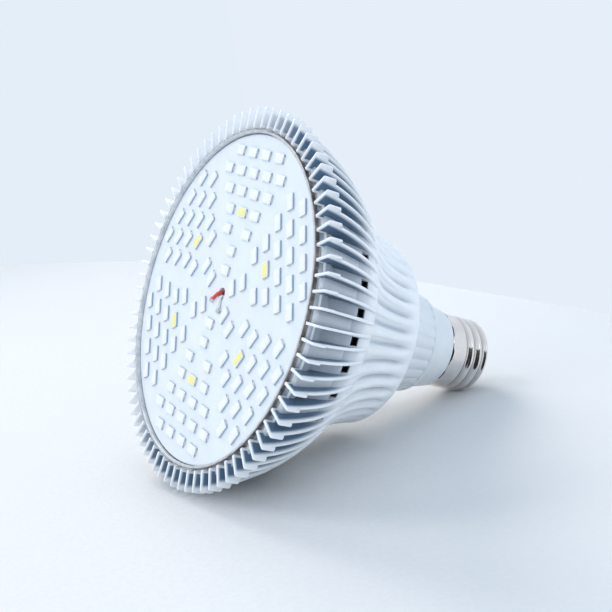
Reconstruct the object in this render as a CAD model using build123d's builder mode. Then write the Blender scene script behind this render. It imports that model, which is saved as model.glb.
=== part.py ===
from build123d import *
import os
from math import cos, hypot, radians, sqrt

os.makedirs("parts", exist_ok=True)

# Round LED grow bulb with a finned heat sink, modelled standing on its head.
# The flat fronts of the cooling fins lie in the plane z = 0, the lamp axis is +Z
# and the screw base points up. All sizes are in millimetres.

# Light board and the metal tray that carries it
BOARD_R = 52.0
BOARD_THICK = 1.6
BOARD_DEPTH = 1.4          # from the fin fronts down to the board face
BOARD_GAP = 0.2            # all round, between board and tray
PAD_THICK = 0.3
TRAY_WALL = 1.0
TRAY_FLOOR = 1.6
RIM_DEPTH = 0.1            # from the fin fronts down to the tray rim
LEAD_HOLE_R = 2.0
LEAD_HOLE_X = -2.0
LEAD_HOLE_Y = 0.4
TRAY_HOLE_R = 4.5

# LEDs: six equal sectors, each with seven rows counted outward from the centre
SECTORS = 6
ROW_COUNTS = (1, 1, 2, 3, 4, 5, 4)
WARM_ROW = 3               # the middle LED of this row is the warm white one
FIRST_ROW_R = 8.6
ROW_PITCH = 6.2
LED_PITCH = 8.42
PAIR_PITCH = 12.9          # the row of two stands wider apart
LED_LONG = 5.0
LED_SHORT = 3.0
LED_BODY = 0.7
WINDOW_LONG = 4.2
WINDOW_SHORT = 2.3
WINDOW_THICK = 0.15

# Heat sink: a cast cup with thin radial fins and a pleated rear cone
FIN_COUNT = 78
FIN_THICK = 0.9
FIN_GAP = 0.4              # between tray and the free front of a fin
FIN_DEPTH = 6.6
FIN_STEP = 1.8
FIN_FRONT = 4.2            # length of the straight outer edge before the step
FIN_BULGE = 1.65
PHASE = -0.6               # turn of the pleats about the axis, degrees
WAIST_R = 46.7
WAIST_Z = 27.4
WAIST_LAND = 0.4
SEAT_RING_R = 52.2         # outer radius of the wall end that the tray sits on
WALL_MID_R = 50.8          # outer radius of the wall at the vents
REAR_R = 31.6
REAR_Z = 57.4
REAR_EDGE = 1.8
CONE_SAG = 3.4
CASE_WALL = 2.4
CONE_WALL = 4.2
REAR_WALL = 3.0
RING_DEPTH = 2.1           # rim of the cup round the tray, in front of the seat
RING_WIDTH = 1.1
LIP_DEPTH = 3.1            # the closed gaps reach this far in front of the seat
LIP_R = 55.6
BLIND_MID_R = 52.4
SEAT_LEDGE = 2.8
PLEAT_DEPTH = 2.2
PLEAT_HALF = 2.0
VENT_LENGTH = 3.4
VENT_WIDTH = 2.7
VENT_Z = 17.6

# Plastic neck that holds the driver and the screw base
NECK_TUBE_R = 17.3
NECK_FIT = 0.2
NECK_FRONT = 40.0
BORE_R = 15.6
BORE_END = 74.0
FLANGE_R = 25.5
FLANGE_THICK = 2.5
LEDGE_R = 20.0
LEDGE_LENGTH = 6.5
FACETS = 28
FACET_FRONT_R = 19.3
FACET_REAR_R = 17.0
FACET_LENGTH = 11.2
TAPER_R = 15.5
TAPER_LENGTH = 10.4
SHELL_SEAT_R = 13.6
SPIGOT_R = 12.6
NOSE_R = 11.7
NOSE_LENGTH = 4.6
NOSE_WALL = 1.4
SCREW_COUNT = 3
SCREW_CIRCLE = 22.95
SCREW_R = 1.3
SCREW_HOLE_R = 1.5
SCREW_HEAD_R = 2.1
SCREW_HEAD = 1.6

# Edison screw base, 27 mm size
SHELL_R = 13.2             # over the thread crests
SHELL_WALL = 0.35
THREAD_PITCH = 3.63
THREAD_DEPTH = 0.95
THREAD_TURNS = 3
SHELL_BAND = 5.4
SHELL_LIP = 0.5
SHELL_END_R = 9.4
SHELL_END = 3.6
BASE_STEP = 2.4
CONTACT_R = 4.8
CONTACT_THICK = 1.4
CONTACT_SEAT_R = 5.8
WIRE_HOLE_R = 0.9

# Driver: a small circuit board standing along the axis, with its parts
DRIVER_Y = -4.6            # back face of the driver board
DRIVER_THICK = 1.2
DRIVER_HALF = 14.2
DRIVER_FRONT = 35.0
DRIVER_REAR = 73.0
RAIL = 1.6
LEAD_R = 0.5

# Levels along the axis
board_back = BOARD_DEPTH + BOARD_THICK
tray_floor = board_back + PAD_THICK
seat_z = tray_floor + TRAY_FLOOR
ring_front = seat_z - RING_DEPTH
lip_front = seat_z - LIP_DEPTH
neck_seat = REAR_Z
flange_top = neck_seat + FLANGE_THICK
facet_front = flange_top + LEDGE_LENGTH
facet_rear = facet_front + FACET_LENGTH
shell_front = facet_rear + TAPER_LENGTH
band_end = shell_front + SHELL_BAND
thread_end = band_end + THREAD_PITCH * THREAD_TURNS
shell_end = thread_end + SHELL_END
contact_seat = shell_end + BASE_STEP
ring_step = THREAD_PITCH / 5
spigot_end = band_end - ring_step
nose_end = band_end + NOSE_LENGTH

# Radii that follow from the fits
tray_bore = BOARD_R + BOARD_GAP
tray_r = tray_bore + TRAY_WALL
ring_r = tray_r + RING_WIDTH
fin_root = tray_r + FIN_GAP
fin_tip = fin_root + FIN_DEPTH
fin_step = fin_tip - FIN_STEP
waist_wall = WAIST_R - WAIST_LAND
fin_pitch = 360 / FIN_COUNT
pleats = FIN_COUNT // 2
pleat_pitch = 360 / pleats
vent_turn = PHASE + pleat_pitch / 2
fin_curve_z = FIN_FRONT + 0.7
driver_face = DRIVER_Y + DRIVER_THICK


def circle_through(a, b, c):
    """Centre and radius of the circle through three points of the half plane."""
    d = 2 * (a[0] * (b[1] - c[1]) + b[0] * (c[1] - a[1]) + c[0] * (a[1] - b[1]))
    qa = a[0] ** 2 + a[1] ** 2
    qb = b[0] ** 2 + b[1] ** 2
    qc = c[0] ** 2 + c[1] ** 2
    x = (qa * (b[1] - c[1]) + qb * (c[1] - a[1]) + qc * (a[1] - b[1])) / d
    y = (qa * (c[0] - b[0]) + qb * (a[0] - c[0]) + qc * (b[0] - a[0])) / d
    return x, y, hypot(a[0] - x, a[1] - y)


def row_spots(row):
    """Centres of one row of LEDs, in the sector whose axis is +X."""
    count = ROW_COUNTS[row]
    pitch = PAIR_PITCH if count == 2 else LED_PITCH
    first = -pitch * (count - 1) / 2
    return [(FIRST_ROW_R + ROW_PITCH * row, first + pitch * i) for i in range(count)]


led_spots = [spot for row in range(len(ROW_COUNTS)) for spot in row_spots(row)]
warm_spot = (FIRST_ROW_R + ROW_PITCH * WARM_ROW, 0)
cool_spots = [spot for spot in led_spots if hypot(spot[0] - warm_spot[0], spot[1]) > 1]

# Board tray: a turned aluminium pan. Its rim stands just behind the fin fronts.
with BuildPart() as board_tray:
    with BuildSketch(Plane.XZ) as tray_section:
        with BuildLine():
            Polyline(
                (TRAY_HOLE_R, tray_floor),
                (tray_bore, tray_floor),
                (tray_bore, RIM_DEPTH),
                (tray_r, RIM_DEPTH),
                (tray_r, seat_z),
                (TRAY_HOLE_R, seat_z),
                close=True,
            )
        make_face()
    revolve(axis=Axis.Z)
board_tray.part.label = "board_tray"
export_step(board_tray.part, "parts/board_tray.step")

# Heat-conducting pad between board and tray floor
with BuildPart() as thermal_pad:
    with BuildSketch(Plane.XY.offset(board_back)):
        Circle(BOARD_R)
        Circle(TRAY_HOLE_R, mode=Mode.SUBTRACT)
    extrude(amount=PAD_THICK)
thermal_pad.part.label = "thermal_pad"
export_step(thermal_pad.part, "parts/thermal_pad.step")

# Round aluminium-core light board with one hole for the two leads
with BuildPart() as led_board:
    with BuildSketch(Plane.XY.offset(BOARD_DEPTH)):
        Circle(BOARD_R)
        with Locations((LEAD_HOLE_X, LEAD_HOLE_Y)):
            Circle(LEAD_HOLE_R, mode=Mode.SUBTRACT)
    extrude(amount=BOARD_THICK)
led_board.part.label = "led_board"
export_step(led_board.part, "parts/led_board.step")

# The bodies of all LEDs: flat white packages soldered to the board face
body_front = BOARD_DEPTH - LED_BODY
with BuildPart() as led_packages:
    with BuildSketch(Plane.XY.offset(body_front)):
        with PolarLocations(0, SECTORS):
            with Locations(*led_spots):
                Rectangle(LED_SHORT, LED_LONG)
    extrude(amount=LED_BODY)
led_packages.part.label = "led_packages"
export_step(led_packages.part, "parts/led_packages.step")

# Clear windows over the coloured chips
window_front = body_front - WINDOW_THICK
with BuildPart() as colour_windows:
    with BuildSketch(Plane.XY.offset(window_front)):
        with PolarLocations(0, SECTORS):
            with Locations(*cool_spots):
                Rectangle(WINDOW_SHORT, WINDOW_LONG)
    extrude(amount=WINDOW_THICK)
colour_windows.part.label = "colour_windows"
export_step(colour_windows.part, "parts/colour_windows.step")

# Yellow phosphor windows of the warm white LEDs, one to a sector
with BuildPart() as warm_windows:
    with BuildSketch(Plane.XY.offset(window_front)):
        with PolarLocations(0, SECTORS):
            with Locations(warm_spot):
                Rectangle(WINDOW_SHORT, WINDOW_LONG)
    extrude(amount=WINDOW_THICK)
warm_windows.part.label = "warm_windows"
export_step(warm_windows.part, "parts/warm_windows.step")

# Three points on the middle line of the cup wall, in which fins and gap floors are rooted
vent_mid_z = VENT_Z + VENT_LENGTH / 2
half_wall = CASE_WALL / 2
root_front = (SEAT_RING_R - half_wall, seat_z)
root_mid = (WALL_MID_R - half_wall, vent_mid_z)
root_waist = (waist_wall - half_wall, WAIST_Z + 0.6)

# One cooling fin: straight front, small step, then a long bulging edge to the waist
bulge_r = (fin_step + WAIST_R) / 2 + FIN_BULGE
bulge_z = (fin_curve_z + WAIST_Z) / 2
with BuildPart() as fin:
    with BuildSketch(Plane.XZ) as fin_section:
        with BuildLine():
            ThreePointArc(root_waist, root_mid, root_front)
            Polyline(
                root_front,
                (fin_root, seat_z),
                (fin_root, 0),
                (fin_tip, 0),
                (fin_tip, FIN_FRONT),
                (fin_step, fin_curve_z),
            )
            ThreePointArc((fin_step, fin_curve_z), (bulge_r, bulge_z), (WAIST_R, WAIST_Z))
            Line((WAIST_R, WAIST_Z), root_waist)
        make_face()
    extrude(amount=FIN_THICK / 2, both=True)

# Floor of one closed gap: it fills the space between two fins, leaves a shallow groove
# that runs out just before the waist, and its front lip centres the tray
lip_round = (LIP_R, lip_front + 0.6)
blind_end = (WAIST_R + 0.8, WAIST_Z - 1.1)
gap_half = radians(fin_pitch / 2) * WAIST_R
with BuildPart() as gap_floor:
    with BuildSketch(Plane.XZ) as gap_section:
        with BuildLine():
            ThreePointArc(root_waist, root_mid, root_front)
            Polyline(root_front, (tray_r, seat_z), (tray_r, lip_front), (LIP_R, lip_front), lip_round)
            ThreePointArc(lip_round, (BLIND_MID_R, (lip_round[1] + blind_end[1]) / 2), blind_end)
            Polyline(blind_end, (WAIST_R, WAIST_Z), root_waist)
        make_face()
    extrude(amount=gap_half, both=True)

# One pleat valley: a V-shaped ring whose centre is the centre of the cone's hollow curve
cone_start = (WAIST_R, WAIST_Z)
cone_mid = ((WAIST_R + REAR_R) / 2 - CONE_SAG, (WAIST_Z + REAR_Z - REAR_EDGE) / 2)
cone_end = (REAR_R, REAR_Z - REAR_EDGE)
arc_r, arc_z, arc_radius = circle_through(cone_start, cone_mid, cone_end)
valley_out = 1.5
valley_half = PLEAT_HALF * (PLEAT_DEPTH + valley_out) / PLEAT_DEPTH
with BuildPart() as valley:
    with BuildSketch(Plane((arc_r, 0, arc_z), x_dir=(-1, 0, 0), z_dir=(0, 0, 1))):
        Polygon(
            (arc_radius - valley_out, valley_half),
            (arc_radius - valley_out, -valley_half),
            (arc_radius + PLEAT_DEPTH, 0),
            align=None,
        )
    revolve(axis=Axis((arc_r, 0, arc_z), (0, 1, 0)))

# Heat sink: cup wall, pleated cone and rear wall in one casting, then fins, closed gaps
# and vents
inner_mid = (cone_mid[0] - CONE_WALL, cone_mid[1])
inner_end = (REAR_R - CONE_WALL, REAR_Z - REAR_WALL)
inner_waist = (waist_wall - CASE_WALL, WAIST_Z)
inner_wall_mid = (WALL_MID_R - CASE_WALL, vent_mid_z)
seat_ring = (SEAT_RING_R, seat_z)
seat_inner = (tray_r - SEAT_LEDGE, seat_z)
wall_end = (waist_wall, WAIST_Z - WAIST_LAND)
with BuildPart() as heat_sink:
    with BuildSketch(Plane.XZ) as case_section:
        with BuildLine():
            Line(seat_inner, seat_ring)
            ThreePointArc(seat_ring, (WALL_MID_R, vent_mid_z), wall_end)
            Line(wall_end, cone_start)
            ThreePointArc(cone_start, cone_mid, cone_end)
            Polyline(
                cone_end,
                (REAR_R - REAR_EDGE, REAR_Z),
                (NECK_TUBE_R + NECK_FIT, REAR_Z),
                (NECK_TUBE_R + NECK_FIT, REAR_Z - REAR_WALL),
                inner_end,
            )
            ThreePointArc(inner_end, inner_mid, inner_waist)
            ThreePointArc(inner_waist, inner_wall_mid, seat_inner)
        make_face()
    revolve(axis=Axis.Z)
    with BuildSketch(Plane.XZ) as ring_section:
        with BuildLine():
            Polyline(
                (tray_r, seat_z),
                (tray_r, ring_front),
                (ring_r, ring_front),
                (ring_r, seat_z - 0.4),
                (SEAT_RING_R - 0.4, seat_z + 1.9),
                (SEAT_RING_R - half_wall, seat_z + 1.9),
                (SEAT_RING_R - half_wall, seat_z),
                close=True,
            )
        make_face()
    revolve(axis=Axis.Z)
    with PolarLocations(0, pleats, start_angle=vent_turn):
        add(valley.part, mode=Mode.SUBTRACT)
    with PolarLocations(0, FIN_COUNT, start_angle=PHASE + fin_pitch / 2):
        add(fin.part)
    with PolarLocations(0, pleats, start_angle=PHASE):
        add(gap_floor.part)
    with PolarLocations(WALL_MID_R, pleats, start_angle=vent_turn):
        with Locations((0, 0, vent_mid_z)):
            Box(8, VENT_WIDTH, VENT_LENGTH, mode=Mode.SUBTRACT)
    with PolarLocations(SCREW_CIRCLE, SCREW_COUNT):
        with Locations((0, 0, REAR_Z - REAR_WALL / 2)):
            Cylinder(SCREW_R, REAR_WALL, mode=Mode.SUBTRACT)
heat_sink.part.label = "heat_sink"
export_step(heat_sink.part, "parts/heat_sink.step")

# Neck: one plastic moulding with driver tube, flange, faceted grip, taper and shell seat
facet_in = cos(radians(180 / FACETS))
core_front_r = FACET_FRONT_R * facet_in - 0.3
core_rear_r = FACET_REAR_R * facet_in - 0.3
taper_mid = ((TAPER_R + SHELL_SEAT_R) / 2 + 0.2, facet_rear + TAPER_LENGTH / 2)
nose_bore = NOSE_R - NOSE_WALL
with BuildPart() as neck_housing:
    with BuildSketch(Plane.XY.offset(facet_front)):
        RegularPolygon(FACET_FRONT_R, FACETS)
    with BuildSketch(Plane.XY.offset(facet_rear)):
        RegularPolygon(FACET_REAR_R, FACETS)
    loft()
    with BuildSketch(Plane.XZ) as neck_section:
        with BuildLine():
            Polyline(
                (0, NECK_FRONT),
                (NECK_TUBE_R, NECK_FRONT),
                (NECK_TUBE_R, neck_seat),
                (FLANGE_R, neck_seat),
                (FLANGE_R, flange_top - 0.5),
                (FLANGE_R - 0.5, flange_top),
                (LEDGE_R, flange_top),
                (LEDGE_R, facet_front - 0.4),
                (LEDGE_R - 0.4, facet_front),
                (core_front_r, facet_front),
                (core_rear_r, facet_rear),
                (TAPER_R, facet_rear),
            )
            ThreePointArc((TAPER_R, facet_rear), taper_mid, (SHELL_SEAT_R, shell_front))
            Polyline(
                (SHELL_SEAT_R, shell_front),
                (SPIGOT_R, shell_front),
                (SPIGOT_R, spigot_end),
                (NOSE_R, spigot_end),
                (NOSE_R, nose_end),
                (0, nose_end),
                (0, NECK_FRONT),
            )
        make_face()
    revolve(axis=Axis.Z)
    with BuildSketch(Plane.XZ) as bore_section:
        with BuildLine():
            Polyline(
                (0, NECK_FRONT),
                (BORE_R, NECK_FRONT),
                (BORE_R, BORE_END),
                (nose_bore, shell_front - 2),
                (nose_bore, nose_end),
                (0, nose_end),
                close=True,
            )
        make_face()
    revolve(axis=Axis.Z, mode=Mode.SUBTRACT)
    with PolarLocations(SCREW_CIRCLE, SCREW_COUNT):
        with Locations((0, 0, neck_seat + FLANGE_THICK / 2)):
            Cylinder(SCREW_HOLE_R, FLANGE_THICK, mode=Mode.SUBTRACT)

# Two pairs of rails in the bore hold the edges of the driver board
rail_in = DRIVER_HALF - RAIL
rail_length = DRIVER_REAR - NECK_FRONT
with BuildPart() as rails:
    with BuildSketch(Plane.XY.offset(NECK_FRONT)):
        with Locations((0, DRIVER_Y - RAIL / 2), (0, driver_face + RAIL / 2)):
            Rectangle(2 * BORE_R, RAIL)
        Rectangle(2 * rail_in, 4 * BORE_R, mode=Mode.SUBTRACT)
        Circle(BORE_R + 0.2, mode=Mode.INTERSECT)
    extrude(amount=rail_length)
with BuildPart() as neck:
    add(neck_housing.part)
    add(rails.part)
neck.part.label = "neck_housing"
export_step(neck.part, "parts/neck_housing.step")

# Three pan-head screws pull the neck flange onto the rear wall
with BuildPart() as neck_screws:
    with BuildSketch(Plane.XY.offset(neck_seat - REAR_WALL + 0.4)):
        with PolarLocations(SCREW_CIRCLE, SCREW_COUNT):
            Circle(SCREW_R)
    extrude(amount=REAR_WALL - 0.4 + FLANGE_THICK)
    with BuildSketch(Plane.XY.offset(flange_top)):
        with PolarLocations(SCREW_CIRCLE, SCREW_COUNT):
            Circle(SCREW_HEAD_R)
    extrude(amount=SCREW_HEAD)
    chamfer(neck_screws.edges().group_by(Axis.Z)[-1], 0.4)
    with PolarLocations(SCREW_CIRCLE, SCREW_COUNT):
        with Locations((0, 0, flange_top + SCREW_HEAD)):
            Box(2.6, 0.55, 1.4, mode=Mode.SUBTRACT)
            Box(0.55, 2.6, 1.4, mode=Mode.SUBTRACT)
neck_screws.part.label = "neck_screws"
export_step(neck_screws.part, "parts/neck_screws.step")

# Screw shell: thin plated brass with rolled thread rings, open at both ends
valley_r = SHELL_R - THREAD_DEPTH
outer_line = [
    (SHELL_SEAT_R, shell_front),
    (SHELL_SEAT_R, shell_front + SHELL_LIP),
    (SPIGOT_R + SHELL_WALL, shell_front + SHELL_LIP + 0.6),
    (SPIGOT_R + SHELL_WALL, band_end - ring_step),
]
for turn in range(THREAD_TURNS):
    start = band_end + THREAD_PITCH * turn
    outer_line += [
        (valley_r, start),
        (SHELL_R - 0.25, start + 1.2 * ring_step),
        (SHELL_R, start + 1.9 * ring_step),
        (SHELL_R, start + 3.1 * ring_step),
        (SHELL_R - 0.25, start + 3.8 * ring_step),
    ]
outer_line += [
    (valley_r, thread_end),
    (valley_r, thread_end + 0.5),
    (valley_r - 0.6, thread_end + 1.6),
    (SHELL_END_R, shell_end),
]
inner_line = [(r - SHELL_WALL, z) for r, z in outer_line]
inner_line[0] = (SPIGOT_R, shell_front)
inner_line[1] = (SPIGOT_R, shell_front + SHELL_LIP)
with BuildPart() as screw_shell:
    with BuildSketch(Plane.XZ) as shell_section:
        with BuildLine():
            Polyline(*outer_line, *reversed(inner_line), close=True)
        make_face()
    revolve(axis=Axis.Z)
screw_shell.part.label = "screw_shell"
export_step(screw_shell.part, "parts/screw_shell.step")

# Black insulator that closes the shell and carries the centre contact
plug_line = inner_line[-3:]
with BuildPart() as base_insulator:
    with BuildSketch(Plane.XZ) as plug_section:
        with BuildLine():
            Polyline(
                (WIRE_HOLE_R, plug_line[0][1]),
                *plug_line,
                (SHELL_END_R - SHELL_WALL - 0.2, shell_end + 0.3),
                (CONTACT_SEAT_R, contact_seat),
                (WIRE_HOLE_R, contact_seat),
                close=True,
            )
        make_face()
    revolve(axis=Axis.Z)
base_insulator.part.label = "base_insulator"
export_step(base_insulator.part, "parts/base_insulator.step")

# Centre contact: a low domed button over the wire hole
with BuildPart() as centre_contact:
    with BuildSketch(Plane.XZ):
        with BuildLine():
            Polyline(
                (0, contact_seat),
                (CONTACT_R, contact_seat),
                (CONTACT_R, contact_seat + 0.5),
                (CONTACT_R - 1.3, contact_seat + CONTACT_THICK - 0.2),
                (1.6, contact_seat + CONTACT_THICK),
                (0, contact_seat + CONTACT_THICK),
                close=True,
            )
        make_face()
    revolve(axis=Axis.Z)
centre_contact.part.label = "centre_contact"
export_step(centre_contact.part, "parts/centre_contact.step")

# Driver board, held by the rails of the neck
driver_length = DRIVER_REAR - DRIVER_FRONT
driver_mid_z = (DRIVER_REAR + DRIVER_FRONT) / 2
with BuildPart() as driver_board:
    with Locations((0, DRIVER_Y + DRIVER_THICK / 2, driver_mid_z)):
        Box(2 * DRIVER_HALF, DRIVER_THICK, driver_length)
driver_board.part.label = "driver_board"
export_step(driver_board.part, "parts/driver_board.step")

# Transformer: wound coil on a bobbin between the two halves of an E core
TRAFO_Z = 57.0
CORE_W = 14.0
CORE_H = 12.0
CORE_LEG = 2.2
COIL_R = 4.2
trafo_y = driver_face + 0.7 + COIL_R
with BuildPart() as transformer_core:
    with Locations((0, trafo_y, TRAFO_Z)):
        Box(CORE_W, 2 * CORE_LEG, CORE_H)
        Box(CORE_W - 2 * CORE_LEG, 2 * CORE_LEG, CORE_H - 2 * CORE_LEG, mode=Mode.SUBTRACT)
        Cylinder(CORE_LEG, CORE_H - CORE_LEG)
transformer_core.part.label = "transformer_core"
export_step(transformer_core.part, "parts/transformer_core.step")
coil_height = CORE_H - 2 * CORE_LEG
with BuildPart() as transformer_coil:
    with Locations((0, trafo_y, TRAFO_Z)):
        Cylinder(COIL_R, coil_height)
        Cylinder(CORE_LEG, coil_height, mode=Mode.SUBTRACT)
    with Locations((0, driver_face + 0.5, TRAFO_Z)):
        Box(8, 1.0, coil_height)
transformer_coil.part.label = "transformer_coil"
export_step(transformer_coil.part, "parts/transformer_coil.step")

# Two electrolytic capacitors lying on the board, one at each side of the axis
CAP_R = 4.0
CAP_LENGTH = 11.0
CAP_X = 7.2
CAP_Z = 43.5
with BuildPart() as capacitors:
    with Locations((-CAP_X, driver_face + CAP_R, CAP_Z), (CAP_X, driver_face + CAP_R, CAP_Z)):
        Cylinder(CAP_R, CAP_LENGTH)
    chamfer(capacitors.edges().filter_by(GeomType.CIRCLE), 0.4)
capacitors.part.label = "electrolytic_capacitors"
export_step(capacitors.part, "parts/electrolytic_capacitors.step")

# Film capacitor across the mains input
FILM_Z = 68.0
with BuildPart() as film_capacitor:
    with Locations((5.5, driver_face + 3.5, FILM_Z)):
        Box(10, 7, 5)
film_capacitor.part.label = "film_capacitor"
export_step(film_capacitor.part, "parts/film_capacitor.step")

# Fusible resistor next to it
with BuildPart() as fuse_resistor:
    with Locations(Location((-6.5, driver_face + 1.5, FILM_Z), (0, 90, 0))):
        Cylinder(1.5, 8)
    chamfer(fuse_resistor.edges().filter_by(GeomType.CIRCLE), 0.4)
fuse_resistor.part.label = "fuse_resistor"
export_step(fuse_resistor.part, "parts/fuse_resistor.step")

# Bridge rectifier, control chip and chip resistors on the back of the driver board
with BuildPart() as bridge_rectifier:
    with Locations((5.5, DRIVER_Y - 1.3, 66.0)):
        Box(6.5, 2.6, 5)
bridge_rectifier.part.label = "bridge_rectifier"
export_step(bridge_rectifier.part, "parts/bridge_rectifier.step")
with BuildPart() as control_chip:
    with Locations((-3.0, DRIVER_Y - 0.8, 54.0)):
        Box(5, 1.6, 4)
control_chip.part.label = "control_chip"
export_step(control_chip.part, "parts/control_chip.step")
with BuildPart() as chip_resistors:
    with BuildSketch(Plane.XZ.offset(-DRIVER_Y)):
        with Locations((4.5, 52.0), (4.5, 55.5), (4.5, 59.0), (-8.5, 52.0), (-8.5, 56.0)):
            Rectangle(3.2, 1.6)
    extrude(amount=0.6)
chip_resistors.part.label = "chip_resistors"
export_step(chip_resistors.part, "parts/chip_resistors.step")

# Leads of the light board: each lies on the board face, dives through the hole and
# runs back along the axis to the front of the driver board
LEAD_RUN = 4.6
LEAD_BEND = 1.0
SOLDER_R = 1.1
FACE_LEAD_Z = 39.5
lead_low = BOARD_DEPTH - LEAD_R
lead_in = lead_low + LEAD_BEND
bend_mid = LEAD_BEND * (1 - sqrt(0.5))


def board_lead(start, heading, driver_x):
    """Closed-up run of one lead, from its end on the light board to the driver."""
    def spot(s, z):
        return (start[0] + heading[0] * s, start[1] + heading[1] * s, z)
    with BuildLine() as run:
        Line(spot(LEAD_RUN, lead_low), spot(LEAD_BEND, lead_low))
        ThreePointArc(
            spot(LEAD_BEND, lead_low), spot(bend_mid, lead_low + bend_mid), spot(0, lead_in)
        )
        Line(spot(0, lead_in), spot(0, 16))
        Spline(
            spot(0, 16),
            (driver_x, driver_face + LEAD_R, 32),
            tangents=((0, 0, 1), (0, 0, 1)),
        )
        Line((driver_x, driver_face + LEAD_R, 32), (driver_x, driver_face + LEAD_R, FACE_LEAD_Z))
    return run.line


RED_START = (-1.5, 1.1)
RED_HEADING = (0.973, -0.231)
WHITE_START = (-2.3, -0.5)
WHITE_HEADING = (0.251, -0.968)
RED_X = 1.8
WHITE_X = -1.8
red_run = board_lead(RED_START, RED_HEADING, RED_X)
with BuildPart() as red_lead:
    with BuildSketch(Plane(red_run @ 0, z_dir=red_run % 0)):
        Circle(LEAD_R)
    sweep(path=red_run)
red_lead.part.label = "red_lead"
export_step(red_lead.part, "parts/red_lead.step")
white_run = board_lead(WHITE_START, WHITE_HEADING, WHITE_X)
with BuildPart() as white_lead:
    with BuildSketch(Plane(white_run @ 0, z_dir=white_run % 0)):
        Circle(LEAD_R)
    sweep(path=white_run)
white_lead.part.label = "white_lead"
export_step(white_lead.part, "parts/white_lead.step")

# Mains leads: one to the centre contact, one folded out to the shell wall
MAINS_X = 2.0
MAINS_Z = 70.9
mains_y = DRIVER_Y - LEAD_R
with BuildPart() as live_lead:
    with BuildLine() as live_run:
        Line((MAINS_X, mains_y, MAINS_Z), (MAINS_X, mains_y, MAINS_Z + 5))
        Spline(
            (MAINS_X, mains_y, MAINS_Z + 5),
            (0, 0, nose_end + 2),
            tangents=((0, 0, 1), (0, 0, 1)),
        )
        Line((0, 0, nose_end + 2), (0, 0, contact_seat))
    with BuildSketch(Plane(live_run.line @ 0, z_dir=live_run.line % 0)):
        Circle(LEAD_R)
    sweep(path=live_run.line)
live_lead.part.label = "live_lead"
export_step(live_lead.part, "parts/live_lead.step")
fold_r = nose_bore - LEAD_R - 0.5
fold_z = band_end + 2 * THREAD_PITCH
fold_end = valley_r - SHELL_WALL - 0.05
with BuildPart() as neutral_lead:
    with BuildLine() as neutral_run:
        Line((-MAINS_X, mains_y, MAINS_Z), (-MAINS_X, mains_y, MAINS_Z + 5))
        Spline(
            (-MAINS_X, mains_y, MAINS_Z + 5),
            (-fold_r, 0, nose_end - 4),
            tangents=((0, 0, 1), (0, 0, 1)),
        )
        Line((-fold_r, 0, nose_end - 4), (-fold_r, 0, fold_z - LEAD_BEND))
        ThreePointArc(
            (-fold_r, 0, fold_z - LEAD_BEND),
            (-fold_r - bend_mid, 0, fold_z - bend_mid),
            (-fold_r - LEAD_BEND, 0, fold_z),
        )
        Line((-fold_r - LEAD_BEND, 0, fold_z), (-fold_end, 0, fold_z))
    with BuildSketch(Plane(neutral_run.line @ 0, z_dir=neutral_run.line % 0)):
        Circle(LEAD_R)
    sweep(path=neutral_run.line)
neutral_lead.part.label = "neutral_lead"
export_step(neutral_lead.part, "parts/neutral_lead.step")

# Solder joints: a cone round the end of each lead on the light board, and a low block
# at the end of each lead on the driver board
JOINT = 1.6
JOINT_HEIGHT = 1.1
red_end = red_run @ 0
white_end = white_run @ 0
with BuildPart() as solder_joints:
    with BuildSketch(Plane.XY.offset(BOARD_DEPTH)):
        with Locations((red_end.X, red_end.Y), (white_end.X, white_end.Y)):
            Circle(SOLDER_R)
    extrude(amount=-2 * LEAD_R + 0.1, taper=12)
    add(red_lead.part, mode=Mode.SUBTRACT)
    add(white_lead.part, mode=Mode.SUBTRACT)
    face_mid = driver_face + JOINT_HEIGHT / 2
    with Locations(
        (RED_X, face_mid, FACE_LEAD_Z + JOINT / 2), (WHITE_X, face_mid, FACE_LEAD_Z + JOINT / 2)
    ):
        Box(JOINT, JOINT_HEIGHT, JOINT)
    back_mid = DRIVER_Y - JOINT_HEIGHT / 2
    with Locations(
        (MAINS_X, back_mid, MAINS_Z - JOINT / 2), (-MAINS_X, back_mid, MAINS_Z - JOINT / 2)
    ):
        Box(JOINT, JOINT_HEIGHT, JOINT)
solder_joints.part.label = "solder_joints"
export_step(solder_joints.part, "parts/solder_joints.step")
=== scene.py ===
# %% [markdown]
# # An LED grow bulb, from its CAD frame to a finished picture
#
# The bulb is a round light board in a cast heat sink, with a plastic neck and a screw
# base. The CAD model fixes every size and place. This lesson dresses it: it keeps the
# CAD parts whose shape is already right, builds finer meshes for the parts that the eye
# rests on, and gives every part a material made of nodes.

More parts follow.
